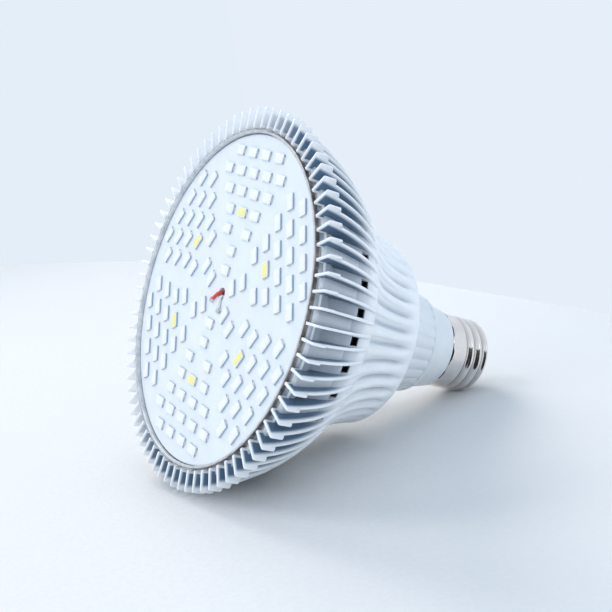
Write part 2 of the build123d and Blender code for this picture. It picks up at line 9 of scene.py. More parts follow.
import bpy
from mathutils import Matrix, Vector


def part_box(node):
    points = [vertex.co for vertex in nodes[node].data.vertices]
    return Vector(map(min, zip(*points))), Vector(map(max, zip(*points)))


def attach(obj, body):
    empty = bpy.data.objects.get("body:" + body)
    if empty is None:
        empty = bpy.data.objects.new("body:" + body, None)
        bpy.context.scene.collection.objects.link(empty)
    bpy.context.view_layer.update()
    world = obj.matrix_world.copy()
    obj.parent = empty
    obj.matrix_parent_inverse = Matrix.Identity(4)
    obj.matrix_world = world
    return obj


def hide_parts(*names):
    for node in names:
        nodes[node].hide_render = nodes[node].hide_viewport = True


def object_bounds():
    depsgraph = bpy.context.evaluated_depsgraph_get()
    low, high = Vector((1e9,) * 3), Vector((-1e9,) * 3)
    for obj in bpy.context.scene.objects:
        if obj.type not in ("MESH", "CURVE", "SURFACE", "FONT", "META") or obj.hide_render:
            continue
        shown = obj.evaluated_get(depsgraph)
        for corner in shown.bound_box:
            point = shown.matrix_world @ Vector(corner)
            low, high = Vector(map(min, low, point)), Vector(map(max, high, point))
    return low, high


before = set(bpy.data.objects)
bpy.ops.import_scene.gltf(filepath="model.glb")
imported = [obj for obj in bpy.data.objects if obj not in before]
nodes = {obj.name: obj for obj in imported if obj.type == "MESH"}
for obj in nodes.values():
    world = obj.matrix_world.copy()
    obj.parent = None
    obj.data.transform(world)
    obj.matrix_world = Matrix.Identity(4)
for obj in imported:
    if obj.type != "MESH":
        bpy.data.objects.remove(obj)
cad_low, cad_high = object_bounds()
print("CAD parts:", len(nodes))

# %% Everyday helpers
from math import cos, degrees, hypot, pi, radians, sin

import bmesh
import bpy
from mathutils import Matrix, Vector

MM = 0.001


def size_of(name):
    low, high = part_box(name)
    return [round((b - a) / MM, 2) for a, b in zip(low, high)]


print("heat sink, mm:", size_of("heat_sink"))

# %% [markdown]
# ## The camera
#
# The photograph shows the bulb lying on the edge of its fins and on its thread, seen
# from the front and a little from above. The CAD frame keeps the lamp axis on +Z, so the
# camera takes the tilt. Its place and its three axes were found by matching the rim,
# the LED pattern and the screw base, and they go straight into the camera's matrix.

# %% Camera
EYE = Vector((-260.9, -112.9, -151.0)) * MM
LENS_MM = 61.01
right = Vector((-0.5809, 0.0022, 0.8140)).normalized()
down = Vector((0.2782, -0.9392, 0.2011))
down = (down - right * down.dot(right)).normalized()
ahead = right.cross(down)

camera_data = bpy.data.cameras.new("photo_camera")
camera_data.lens = LENS_MM
camera_data.sensor_width = 36
camera_data.clip_start = 0.01
camera = bpy.data.objects.new("photo_camera", camera_data)
bpy.context.scene.collection.objects.link(camera)
turn = Matrix((right, -down, -ahead)).transposed().to_4x4()
camera.matrix_world = Matrix.Translation(EYE) @ turn
bpy.context.scene.camera = camera
print("camera looks along", [round(v, 3) for v in ahead])

# %% [markdown]
# ## Colours and nodes
#
# Colours are written as the sRGB hex values that a paint chart gives. Blender's shaders
# add light, so they need linear values, and one function turns one into the other. A
# second function adds a node, sets it up and wires its inputs in one line. The others
# say what a surface does: its tone is mottled, its gloss is uneven, its skin is pitted
# and colours are layered on it, so each material below reads like a list of what lies
# on the surface.

# %% Colour and node helpers
def paint(text):
    """Linear colour of an sRGB hex value."""
    parts = [int(text[i:i + 2], 16) / 255 for i in (1, 3, 5)]
    return [c / 12.92 if c <= 0.04045 else ((c + 0.055) / 1.055) ** 2.4 for c in parts] + [1]


def add(tree, kind, wires=None, **settings):
    """A node with its settings, and its inputs set to values or wired to outputs."""
    node = tree.nodes.new(kind)
    for key, value in settings.items():
        setattr(node, key, value)
    for socket, value in (wires or {}).items():
        if isinstance(value, bpy.types.NodeSocket):
            tree.links.new(value, node.inputs[socket])
        else:
            node.inputs[socket].default_value = value
    return node


def finish_named(name, **sockets):
    """A new material: its tree, its shader and its object coordinates."""
    made = bpy.data.materials.new(name)
    made.use_nodes = True
    tree = made.node_tree
    shader = tree.nodes["Principled BSDF"]
    for socket, value in sockets.items():
        shader.inputs[socket.replace("_", " ")].default_value = value
    return made, tree, shader, add(tree, "ShaderNodeTexCoord").outputs["Object"]


def uneven(tree, place, size_mm, low, high, detail=2.0, rough=0.5):
    """A value that wanders from low to high, in lumps of about size_mm."""
    lumps = add(tree, "ShaderNodeTexNoise", {"Vector": place, "Scale": 1 / (size_mm * MM),
                                             "Detail": detail, "Roughness": rough})
    ends = {"Value": lumps.outputs["Fac"], "From Min": 0.3, "From Max": 0.7,
            "To Min": low, "To Max": high}
    return add(tree, "ShaderNodeMapRange", ends).outputs[0]


def mottled(tree, place, size_mm, detail, dark, light, rough=0.5):
    """Two tones of a colour that change places in lumps of about size_mm."""
    share = uneven(tree, place, size_mm, 0, 1, detail, rough)
    return add(tree, "ShaderNodeMix", {0: share, 6: paint(dark), 7: paint(light)},
               data_type="RGBA").outputs[2]


def layered(tree, shader, tone, *layers):
    """Lays each colour over the tone where its mask is 1, and colours the surface with it."""
    for cover, colour in layers:
        colour = paint(colour) if isinstance(colour, str) else colour
        tone = add(tree, "ShaderNodeMix", {0: cover, 6: tone, 7: colour},
                   data_type="RGBA").outputs[2]
    tree.links.new(tone, shader.inputs["Base Color"])


def pitted(tree, shader, place, size_mm, detail, depth_mm, strength):
    """Fine bumps of about size_mm, felt in the gloss."""
    lumps = add(tree, "ShaderNodeTexNoise", {"Vector": place, "Scale": 1 / (size_mm * MM),
                                             "Detail": detail, "Roughness": 0.5})
    bump = add(tree, "ShaderNodeBump", {"Height": lumps.outputs["Fac"], "Distance": depth_mm * MM,
                                        "Strength": strength})
    tree.links.new(bump.outputs[0], shader.inputs["Normal"])


def across_axis(tree, place):
    """Distance of a surface point from the lamp axis, and its height along it."""
    flat = add(tree, "ShaderNodeVectorMath", {0: place, 1: (1, 1, 0)}, operation="MULTIPLY")
    radius = add(tree, "ShaderNodeVectorMath", {0: flat.outputs[0]}, operation="LENGTH")
    return radius.outputs["Value"], add(tree, "ShaderNodeSeparateXYZ", {0: place}).outputs["Z"]


def mask(tree, *steps, share=1.0):
    """share where a point has passed all steps, and 0 before. A step is a length and the
    two millimetre values between which it softly passes, in either direction."""
    whole = None
    for value, start, end in steps:
        passed = add(tree, "ShaderNodeMapRange", {"Value": value, "From Min": start * MM,
                                                  "From Max": end * MM, "To Max": share},
                     interpolation_type="SMOOTHSTEP").outputs[0]
        whole = passed if whole is None else add(tree, "ShaderNodeMath", {0: whole, 1: passed},
                                                 operation="MULTIPLY").outputs[0]
        share = 1.0
    return whole


print("white paint in linear light:", [round(c, 3) for c in paint("#E9EEF3")[:3]])

# %% [markdown]
# ## The white casting
#
# The heat sink is die-cast aluminium with a white powder coat. The powder melts into a
# skin with a soft sheen and a faint orange peel, lumps of about 0.6 mm. Deeper in the
# gaps the white turns slate grey, a painted shade, so the fins are whitest along their
# edges. The depth of a point is how far it lies below the outer edge of the fins, which
# is an arc. This painted shade lies on one side of the bulb only, the side in shade. It
# is weakest on the floors of the shallow gaps, stronger on the cup's wall and strongest
# on the flanks of the fins, so one function makes the coat three times. Within the
# windows' height the inside of the wall is painted near black, a painted shade. The
# valleys of the cone lie below an arc too, and take a paler grey, also painted shade.

# %% Finish: powder-coated casting
FIN_ARC = (4.65, -8.76, 55.46)     # centre and reach of the fins' outer edge, in mm
CONE_ARC = (75.07, 60.73, 43.77)   # the same of the lobes on the cone


def below_arc(tree, radius, height, arc, side):
    """How far a point lies below an arc of the section, toward the axis."""
    x, y, reach = (length * MM for length in arc)
    drop = add(tree, "ShaderNodeMath", {0: height, 1: y}, operation="SUBTRACT").outputs[0]
    square = add(tree, "ShaderNodeMath", {0: drop, 1: drop}, operation="MULTIPLY").outputs[0]
    rest = add(tree, "ShaderNodeMath", {0: reach ** 2, 1: square}, operation="SUBTRACT").outputs[0]
    rise = add(tree, "ShaderNodeMath", {0: rest}, operation="SQRT").outputs[0]
    edge = add(tree, "ShaderNodeMath", {0: rise, 1: side, 2: x}, operation="MULTIPLY_ADD")
    return add(tree, "ShaderNodeMath", {0: edge.outputs[0], 1: radius},
               operation="SUBTRACT").outputs[0]


def powder_coat(name, gap_shade_strength):
    """White powder over cast metal, with painted slate shade in its gaps; the second argument sets
    how strong it is.
    """
    coat, tree, shader, place = finish_named(name, Roughness=0.36, Coat_Weight=0.15,
                                             Coat_Roughness=0.3)
    radius, height = across_axis(tree, place)
    # this dot product marks the side of the bulb in shade; only that side takes the painted slate
    # shade
    shaded_side = add(tree, "ShaderNodeVectorMath", {0: place, 1: (-0.7, -0.7, 0)},
                   operation="DOT_PRODUCT").outputs["Value"]
    beyond_rim = add(tree, "ShaderNodeMath", {0: mask(tree, (height, 2.85, 3.2)),
                                              1: mask(tree, (radius, 54.4, 54.7))},
                     operation="MAXIMUM").outputs[0]
    # painted shade: the coat turns slate grey deeper in the gaps, behind the front and outside the
    # rim
    in_gap = mask(tree, (below_arc(tree, radius, height, FIN_ARC, 1), 0.05, 1.5), (height, 28, 13),
                  (height, 0.1, 0.9), (shaded_side, -26, 8), share=gap_shade_strength)
    thin = add(tree, "ShaderNodeMath", {0: in_gap, 1: beyond_rim}, operation="MULTIPLY")
    # painted shade: the valleys of the cone take a paler slate grey
    valley = mask(tree, (below_arc(tree, radius, height, CONE_ARC, -1), 0.5, 3.2), (height, 28, 30),
                  share=0.5)
    # painted shade: within the windows' height the inside of the wall and the windows' cut faces
    # are near black
    window = mask(tree, (radius, 50.0, 49.3), (height, 16.0, 17.0), (height, 21.8, 21.2))
    layered(tree, shader, mottled(tree, place, 9.0, 3, "#F1F4F6", "#F7F9FA"),
            (thin.outputs[0], "#56718A"), (valley, "#9FB4C6"), (window, "#1C2128"))
    tree.links.new(uneven(tree, place, 4.0, 0.32, 0.42), shader.inputs["Roughness"])
    pitted(tree, shader, place, 0.6, 1, 0.02, 0.4)
    return coat


cup_coat = powder_coat("powder_coated_aluminium", 0.6)
fin_coat = powder_coat("powder_coated_fin_aluminium", 1.0)
floor_coat = powder_coat("powder_coated_gap_aluminium", 0.32)
print("made", cup_coat.name, fin_coat.name, floor_coat.name)

# %% [markdown]
# ## Shapes made by turning
#
# Many parts of the bulb are turned, drawn or moulded round the lamp axis. Each is given
# by its half section, a list of radius and height, with a fillet radius at each corner,
# and one function spins it. The spinning is plain arithmetic, so a part can also be
# dented, pleated or threaded on the way: the function asks how far each point moves.

# %% Turning helpers
def fillet(corners, steps=4):
    """Points of a section whose corners (radius, height, fillet) are rounded off."""
    points = []
    for i, (r, z, f) in enumerate(corners):
        if f <= 0 or i in (0, len(corners) - 1):
            points.append((r, z))
            continue
        here = Vector((r, z))
        before = (Vector(corners[i - 1][:2]) - here)
        after = (Vector(corners[i + 1][:2]) - here)
        cut = min(f, before.length * 0.49, after.length * 0.49)
        a, b = here + before.normalized() * cut, here + after.normalized() * cut
        for k in range(steps + 1):
            t = k / steps
            points.append(tuple(a * (1 - t) ** 2 + here * 2 * t * (1 - t) + b * t * t))
    return points


def new_piece(name, points, faces, finish, crease=35):
    """A mesh object from points in millimetres, shaded smooth with sharp edges kept."""
    mesh = bpy.data.meshes.new(name)
    mesh.from_pydata([tuple(c * MM for c in p) for p in points], [], faces)
    work = bmesh.new()
    work.from_mesh(mesh)
    bmesh.ops.recalc_face_normals(work, faces=work.faces)
    open_edges = sum(1 for e in work.edges if len(e.link_faces) != 2)
    work.to_mesh(mesh)
    work.free()
    mesh.materials.append(finish)
    mesh.shade_smooth()
    mesh.set_sharp_from_angle(angle=radians(crease))
    obj = bpy.data.objects.new(name, mesh)
    bpy.context.scene.collection.objects.link(obj)
    print(f"{name}: {len(mesh.polygons)} faces, {open_edges} open edges")
    return obj


def turned(section, columns, move=None, ring=False, skip=None, start=0.0):
    """Points and faces of a spun section. ring joins its last row to its first."""
    points, rows, faces = [], [], []
    for i, (r, z) in enumerate(section):
        if r < 1e-6:
            rows.append([len(points)] * columns)
            points.append((0, 0, z))
            continue
        rows.append(list(range(len(points), len(points) + columns)))
        for c in range(columns):
            a = start + 2 * pi * c / columns
            rr, zz = move(i, a, r, z) if move else (r, z)
            points.append((rr * cos(a), rr * sin(a), zz))
    pairs = list(range(len(rows) - 1)) + ([len(rows) - 1] if ring else [])
    for i in pairs:
        low, high = rows[i], rows[(i + 1) % len(rows)]
        for c in range(columns):
            d = (c + 1) % columns
            if skip and skip(i, c):
                continue
            corners = [low[c], low[d], high[d], high[c]]
            faces.append([p for k, p in enumerate(corners) if p not in corners[:k]])
    return points, faces, rows


def settle(obj, slot, *cad_nodes):
    """The piece rides on the bulb and stands for its CAD nodes, which it hides. slot is not used.
    """
    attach(obj, "root")
    if cad_nodes:
        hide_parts(*cad_nodes)
    return obj


# %% [markdown]
# ## The cup and the pleated cone
#
# One casting carries everything. Its front is a cup with a gently bulging wall and a
# low rim round the board's tray; behind a waist it goes on as a hollow cone with 39
# rounded pleats. A row of small windows lets air through the wall, one in every second
# gap between the fins. The casting follows a rule all the way round, so it is one spun
# section: behind the waist each point sinks by the depth of its pleat, and where a
# window is, the outer and inner walls are left open and joined by small faces. Sixteen
# columns to a pleat, turned so that five of them span a window, are enough for round
# lobes and sharp creases.

# %% Sizes of the casting, in millimetres
PLEATS = 39
FINS = 2 * PLEATS
PITCH = 2 * pi / PLEATS
VENT_TURN = radians(-0.6) + PITCH / 2
TRAY_R, SEAT_R, SEAT_Z = 53.2, 52.2, 4.9
RIM_R, RIM_Z = 54.3, 2.8
WALL_MID_R, WAIST_R, WAIST_Z = 50.8, 46.7, 27.4
REAR_R, REAR_Z, REAR_EDGE = 31.6, 57.4, 1.8
VENT_LOW, VENT_HIGH = 17.6, 21.0
BORE_R = 17.5
CUP_WALL, CONE_WALL, REAR_WALL = 2.4, 4.2, 3.0
PLEAT_DEPTH = 3.0
COLUMNS_PER_PLEAT = 16


def arc_radius_at(z, a, b, c):
    """Radius at height z on the circle through three points of the section."""
    d = 2 * (a[0] * (b[1] - c[1]) + b[0] * (c[1] - a[1]) + c[0] * (a[1] - b[1]))
    qa, qb, qc = (p[0] ** 2 + p[1] ** 2 for p in (a, b, c))
    x = (qa * (b[1] - c[1]) + qb * (c[1] - a[1]) + qc * (a[1] - b[1])) / d
    y = (qa * (c[0] - b[0]) + qb * (a[0] - c[0]) + qc * (b[0] - a[0])) / d
    reach = max(0.0, (a[0] - x) ** 2 + (a[1] - y) ** 2 - (z - y) ** 2) ** 0.5
    return x + reach if b[0] > x else x - reach


def wall_r(z):
    return arc_radius_at(z, (SEAT_R, SEAT_Z), (WALL_MID_R, 19.3), (WAIST_R - 0.4, 27.0))


def cone_r(z):
    end = REAR_Z - REAR_EDGE
    middle = ((WAIST_R + REAR_R) / 2 - 3.4, (WAIST_Z + end) / 2)
    return arc_radius_at(z, (WAIST_R, WAIST_Z), middle, (REAR_R, end))


print("wall radius at the windows:", round(wall_r(19.3), 2), "cone radius half way:",
      round(cone_r(41.5), 2))

# %% Section of the casting and the depth of its pleats
def smooth(x):
    x = min(1.0, max(0.0, x))
    return x * x * (3 - 2 * x)


wall_z = [6.8, 8.5, 11, 14, 16, VENT_LOW, (VENT_LOW + VENT_HIGH) / 2, VENT_HIGH, 23, 25, 26.6]
cone_z = [WAIST_Z + (REAR_Z - REAR_EDGE - WAIST_Z) * i / 28 for i in range(29)]
outside = [(TRAY_R, SEAT_Z), (TRAY_R, RIM_Z + 0.15), (TRAY_R + 0.15, RIM_Z),
           (RIM_R - 0.15, RIM_Z), (RIM_R, RIM_Z + 0.15), (RIM_R, SEAT_Z - 0.4)]
outside += [(wall_r(z), z) for z in wall_z] + [(cone_r(z), z) for z in cone_z]
outside += [(REAR_R - 0.2, REAR_Z - 1.1), (REAR_R - 0.55, REAR_Z - 0.5),
            (REAR_R - 1.1, REAR_Z - 0.12), (REAR_R - 1.9, REAR_Z), (27.5, REAR_Z)]
outside += [(BORE_R + 0.3, REAR_Z), (BORE_R, REAR_Z - 0.3)]
inside = [(BORE_R, REAR_Z - REAR_WALL), (REAR_R - 4.6, REAR_Z - REAR_WALL)]
inside += [(cone_r(z) - CONE_WALL, z) for z in cone_z[-4:0:-3]]
inside += [(wall_r(z) - CUP_WALL, z) for z in wall_z[::-1][1:-1]] + [(50.4, SEAT_Z)]
section = outside + inside


def pleat_depth(angle, z):
    """How far the cone's skin lies below its lobes. Every valley follows a window."""
    t = (z - WAIST_Z) / (REAR_Z - REAR_EDGE - WAIST_Z)
    if not 0 < t < 1.04:
        return 0.0
    off = abs((angle - VENT_TURN + PITCH / 2) % PITCH - PITCH / 2) / PITCH
    lobe = sin(pi * off) ** 0.75
    tip = smooth((off - 0.14) / 0.16)
    early = smooth(t / 0.3)
    shape = tip * (1 - early) + lobe * early
    fade = smooth((t + 0.02) / 0.3) * (1 - smooth((t - 0.84) / 0.17) * 0.9)
    crease = max(0.0, 1 - abs(off - 0.27) / 0.07)
    crease *= smooth(t / 0.15) * (1 - smooth((t - 0.45) / 0.4))
    end = 1 - smooth((t - 0.99) / 0.05)
    return (PLEAT_DEPTH * fade * (1 - shape) + 0.6 * crease) * end


def pleated(i, angle, r, z):
    return (r - pleat_depth(angle, z), z) if i < len(outside) else (r, z)


print("section points:", len(section))

# %% Spin the casting and open its windows
columns = PLEATS * COLUMNS_PER_PLEAT
VENT_COLUMNS = 5
first_angle = VENT_TURN - VENT_COLUMNS / 2 * 2 * pi / columns
outer_row = outside.index((wall_r(VENT_LOW), VENT_LOW))
inner_row = section.index((wall_r(VENT_HIGH) - CUP_WALL, VENT_HIGH))


def in_window(i, c):
    """True for a face that a window takes away, on the outer or the inner wall."""
    high = outer_row <= i < outer_row + 2 or inner_row <= i < inner_row + 2
    return high and c % COLUMNS_PER_PLEAT < VENT_COLUMNS


points, faces, rows = turned(section, columns, pleated, ring=True, skip=in_window,
                             start=first_angle)
outer = [rows[outer_row + k] for k in range(3)]
inner = [rows[inner_row + 2 - k] for k in range(3)]
for first in range(0, columns, COLUMNS_PER_PLEAT):
    last = first + VENT_COLUMNS
    for a, b in zip(range(first, last), range(first + 1, last + 1)):
        faces.append([outer[0][a], outer[0][b], inner[0][b], inner[0][a]])
        faces.append([outer[2][a], outer[2][b], inner[2][b], inner[2][a]])
    for k, c in ((0, first), (1, first), (0, last), (1, last)):
        faces.append([outer[k][c], outer[k + 1][c], inner[k + 1][c], inner[k][c]])
casting = new_piece("cup_and_cone", points, faces, cup_coat, crease=40)

# %% [markdown]
# ## The fins and the closed gaps
#
# 78 thin fins stand on the cup. Each has a flat front beside the light board, a small
# step in its outer edge and then a long bulging edge that runs down to the waist. Every
# second gap between them is deep and has a window; the others are filled to a shallow
# groove that runs out just before the waist, and their front lips centre the board's
# tray. The eye reads the fins as a fine comb, so they must be even: this is work for
# Geometry Nodes. One fin is drawn as a plate, a little thicker at its foot as casting
# needs, and a tree with named inputs sets 78 of it, and 39 gap floors, round the axis.

# %% One fin
FIN_ROOT, FIN_TIP, FIN_STEP = 53.6, 60.2, 58.4
FIN_FRONT_Z, STEP_Z = 4.2, 4.9


def fin_edge_r(z):
    middle = ((FIN_STEP + WAIST_R) / 2 + 1.65, (STEP_Z + WAIST_Z) / 2)
    return arc_radius_at(z, (FIN_STEP, STEP_Z), middle, (WAIST_R, WAIST_Z))


edge = [(FIN_ROOT, SEAT_Z), (FIN_ROOT, 0.25), (FIN_ROOT + 0.25, 0), (FIN_TIP - 0.5, 0),
        (FIN_TIP - 0.1, 0.15), (FIN_TIP, 0.6), (FIN_TIP, FIN_FRONT_Z - 0.3),
        (FIN_TIP - 0.3, FIN_FRONT_Z), (FIN_STEP + 0.3, STEP_Z - 0.1)]
edge += [(fin_edge_r(z), z) for z in (5.3, 8, 11, 14, 17, 20, 22.5, 25, 26.6)]
edge += [(WAIST_R, WAIST_Z + 0.1), (WAIST_R - 1.4, WAIST_Z + 0.5)]
edge += [(wall_r(z) - 1.2, z) for z in (24, 19.3, 14, 9, SEAT_Z)]


def plate(outline, half_at, bevel):
    """A thin plate round an outline of the half plane, with small bevels."""
    count = len(outline)
    area = sum(a[0] * b[1] - b[0] * a[1] for a, b in zip(outline, outline[1:] + outline[:1]))
    side = 1 if area < 0 else -1
    inset = []
    for i, (r, z) in enumerate(outline):
        before, after = outline[i - 1], outline[(i + 1) % count]
        along = Vector((after[0] - before[0], after[1] - before[1])).normalized()
        inset.append((r + along.y * bevel * side, z - along.x * bevel * side))
    rings = [[(r, half_at(r), z) for r, z in inset],
             [(r, half_at(r) - bevel, z) for r, z in outline]]
    rings += [[(r, -y, z) for r, y, z in ring] for ring in rings[::-1]]
    points = [p for ring in rings for p in ring]
    faces = [list(range(count))[::-1], list(range(3 * count, 4 * count))]
    for k in range(3):
        for i in range(count):
            j = (i + 1) % count
            faces.append([k * count + i, k * count + j, (k + 1) * count + j, (k + 1) * count + i])
    return points, faces


points, faces = plate(edge, lambda r: 0.34 + 0.014 * (FIN_TIP - r), 0.1)
fin = new_piece("fin", points, faces, fin_coat, crease=50)

# %% One closed gap
LIP_R, LIP_Z, GAP_HALF = 55.6, 1.8, 1.88


def gap_floor_r(z):
    low, high = (LIP_R, LIP_Z + 0.6), (WAIST_R + 0.8, WAIST_Z - 1.1)
    return arc_radius_at(z, low, (52.4, (low[1] + high[1]) / 2), high)


floor_edge = [(TRAY_R, SEAT_Z), (TRAY_R, LIP_Z + 0.2), (TRAY_R + 0.2, LIP_Z),
              (LIP_R - 0.5, LIP_Z), (LIP_R - 0.15, LIP_Z + 0.15)]
floor_edge += [(gap_floor_r(z), z) for z in (2.4, 5, 8, 11.5, 15, 18, 21, 23.5, 25.2, 26.3)]
floor_edge += [(WAIST_R, WAIST_Z), (WAIST_R - 1.4, WAIST_Z + 0.5)]
floor_edge += [(wall_r(z) - 1.2, z) for z in (24, 19.3, 14, 9, SEAT_Z)]
points, faces = plate(floor_edge, lambda r: GAP_HALF, 0.05)
gap_floor = new_piece("gap_floor", points, faces, floor_coat, crease=50)

# %% A tree that sets copies round the lamp axis
def input_of(tree, name, kind, value):
    socket = tree.interface.new_socket(name, in_out="INPUT", socket_type=kind)
    socket.default_value = value
    return socket.identifier


def round_the_axis():
    """Geometry Nodes: copies of the piece, turned step by step about Z."""
    tree = bpy.data.node_groups.new("round_the_axis", "GeometryNodeTree")
    tree.interface.new_socket("Geometry", in_out="INPUT", socket_type="NodeSocketGeometry")
    tree.interface.new_socket("Geometry", in_out="OUTPUT", socket_type="NodeSocketGeometry")
    ids = {"Copies": input_of(tree, "Copies", "NodeSocketInt", 1),
           "First turn": input_of(tree, "First turn", "NodeSocketFloat", 0.0),
           "Finish": tree.interface.new_socket("Finish", in_out="INPUT",
                                               socket_type="NodeSocketMaterial").identifier}
    given = add(tree, "NodeGroupInput").outputs
    number = add(tree, "GeometryNodeInputIndex").outputs[0]
    step = add(tree, "ShaderNodeMath", {0: 2 * pi, 1: given["Copies"]}, operation="DIVIDE")
    angle = add(tree, "ShaderNodeMath", {0: number, 1: step.outputs[0], 2: given["First turn"]},
                operation="MULTIPLY_ADD")
    heading = add(tree, "ShaderNodeCombineXYZ", {"Z": angle.outputs[0]})
    spots = add(tree, "GeometryNodePoints", {"Count": given["Copies"]})
    copies = add(tree, "GeometryNodeInstanceOnPoints",
                 {"Points": spots.outputs[0], "Instance": given["Geometry"],
                  "Rotation": heading.outputs[0]})
    real = add(tree, "GeometryNodeRealizeInstances", {0: copies.outputs[0]})
    done = add(tree, "GeometryNodeSetMaterial", {"Geometry": real.outputs[0],
                                                 "Material": given["Finish"]})
    add(tree, "NodeGroupOutput", {0: done.outputs[0]})
    return tree, ids


ring_tree, ring_ids = round_the_axis()


def grown(obj, tree, ids, name, **values):
    """Runs the tree on obj, keeps the result as a plain mesh and drops the modifier."""
    modifier = obj.modifiers.new("copies", "NODES")
    modifier.node_group = tree
    for key, value in values.items():
        modifier[ids[key.replace("_", " ")]] = value
    graph = bpy.context.evaluated_depsgraph_get()
    mesh = bpy.data.meshes.new_from_object(obj.evaluated_get(graph))
    obj.modifiers.remove(modifier)
    mesh.name = name
    result = bpy.data.objects.new(name, mesh)
    bpy.context.scene.collection.objects.link(result)
    bpy.data.objects.remove(obj)
    print(f"{name}: {len(mesh.polygons)} faces")
    return result


fins = grown(fin, ring_tree, ring_ids, "cooling_fins", Copies=FINS,
             First_turn=VENT_TURN + PITCH / 4, Finish=fin_coat)
gaps = grown(gap_floor, ring_tree, ring_ids, "closed_gaps", Copies=PLEATS,
             First_turn=VENT_TURN + PITCH / 2, Finish=floor_coat)
for piece in (casting, fins, gaps):
    settle(piece, "white_coated_casting", "heat_sink")

# %% [markdown]
# ## Tray and light board
#
# A turned aluminium pan holds the board. Its narrow bright rim shows all round, and
# between the fins also its outer side, which is painted a mottled dark brown, a painted
# shade, and paler further back. The tool leaves rings about 0.1 mm apart, too fine to
# see, so they are drawn 0.35 mm apart. The board is aluminium under white solder mask,
# a semi-gloss ink whose tone shifts a little from place to place and whose skin has
# fine ripples.

# %% Finish: turned aluminium
rim_metal, tree, shader, place = finish_named("turned_aluminium", Metallic=1.0, Roughness=0.3)
radius, height = across_axis(tree, place)
# painted shade: the outer side of the tray is a mottled dark brown, and paler further back
painted_rim_shade = mottled(tree, place, 5.0, 4, "#4C4645", "#B0A8A4", 0.7)
layered(tree, shader, mottled(tree, place, 2.5, 3, "#C2C6CA", "#E4E6E8"),
        (mask(tree, (radius, 52.9, 53.0)), painted_rim_shade),
        (mask(tree, (radius, 53.0, 53.1), (height, 1.2, 1.7)), "#C8D1D9"))
rings = add(tree, "ShaderNodeTexWave", {"Vector": place, "Scale": 1 / (0.35 * MM) / 3.2,
                                        "Distortion": 0.4}, wave_type="RINGS",
            rings_direction="Z")
grooves = add(tree, "ShaderNodeBump", {"Height": rings.outputs["Fac"], "Distance": 0.02 * MM,
                                       "Strength": 0.6})
tree.links.new(grooves.outputs[0], shader.inputs["Normal"])
print("made", rim_metal.name)

# %% Finish: white solder mask
solder_mask, tree, shader, place = finish_named("white_solder_mask", Roughness=0.3, IOR=1.5)
layered(tree, shader, mottled(tree, place, 9.0, 2, "#E9EEF3", "#EDF2F6"))
tree.links.new(uneven(tree, place, 2.5, 0.28, 0.36), shader.inputs["Roughness"])
pitted(tree, shader, place, 0.5, 2, 0.01, 0.25)
print("made", solder_mask.name)

# %% Tray and board
tray = turned(fillet([(4.5, 3.3, 0), (52.2, 3.3, 0), (52.2, 0.1, 0.25), (53.2, 0.1, 0.25),
                      (53.2, 4.9, 0.2), (4.5, 4.9, 0)]), 240, ring=True)
tray = settle(new_piece("light_board_tray", tray[0], tray[1], rim_metal), "bare_aluminium",
              "board_tray")
HOLE_X, HOLE_Y, HOLE_R = -2.0, 0.4, 2.0


def onto_the_hole(x, y, z):
    """The inner rows of the board are pulled onto the off-centre lead hole."""
    share = min(1.0, max(0.0, (8.0 - hypot(x, y)) / 6.0))
    return x + HOLE_X * share, y + HOLE_Y * share, z


disc = [(HOLE_R, 1.5), (HOLE_R + 0.1, 1.4), (4.0, 1.4), (8.0, 1.4), (20.0, 1.4), (36.0, 1.4),
        (51.8, 1.4), (52.0, 1.6), (52.0, 3.0), (20.0, 3.0), (8.0, 3.0), (HOLE_R, 3.0)]
points, faces, rows = turned(disc, 180, ring=True)
board = new_piece("light_board", [onto_the_hole(*p) for p in points], faces, solder_mask)
settle(board, "white_solder_mask", "led_board")

# %% [markdown]
# ## 120 LEDs
#
# Each LED is a white moulded cup with a metal foot at either end, filled with clear
# silicone, or with yellow phosphor in one LED of each sector. The top of the cup is the
# whitest thing on the board, and the lower part of its sides is painted blue grey, a
# painted shade. They stand in six equal sectors of seven rows. The pattern is a rule,
# so it is grown: one sector's places are points, a tree sets an LED on each of them,
# and the tree that made the fins turns the sector into six. Repeated 120 times, each
# LED may have only a few dozen faces.

# %% Places of one sector
ROW_COUNTS = (1, 1, 2, 3, 4, 5, 4)
FIRST_ROW, ROW_STEP, LED_STEP, PAIR_STEP, WARM_ROW = 8.6, 6.2, 8.42, 12.9, 3
places = []
for row, count in enumerate(ROW_COUNTS):
    step = PAIR_STEP if count == 2 else LED_STEP
    places += [(FIRST_ROW + ROW_STEP * row, step * (i - (count - 1) / 2)) for i in range(count)]
warm = [(FIRST_ROW + ROW_STEP * WARM_ROW, 0.0)]
cool = [p for p in places if hypot(p[0] - warm[0][0], p[1]) > 1]
print("LEDs in a sector:", len(places), "of which warm:", len(warm))

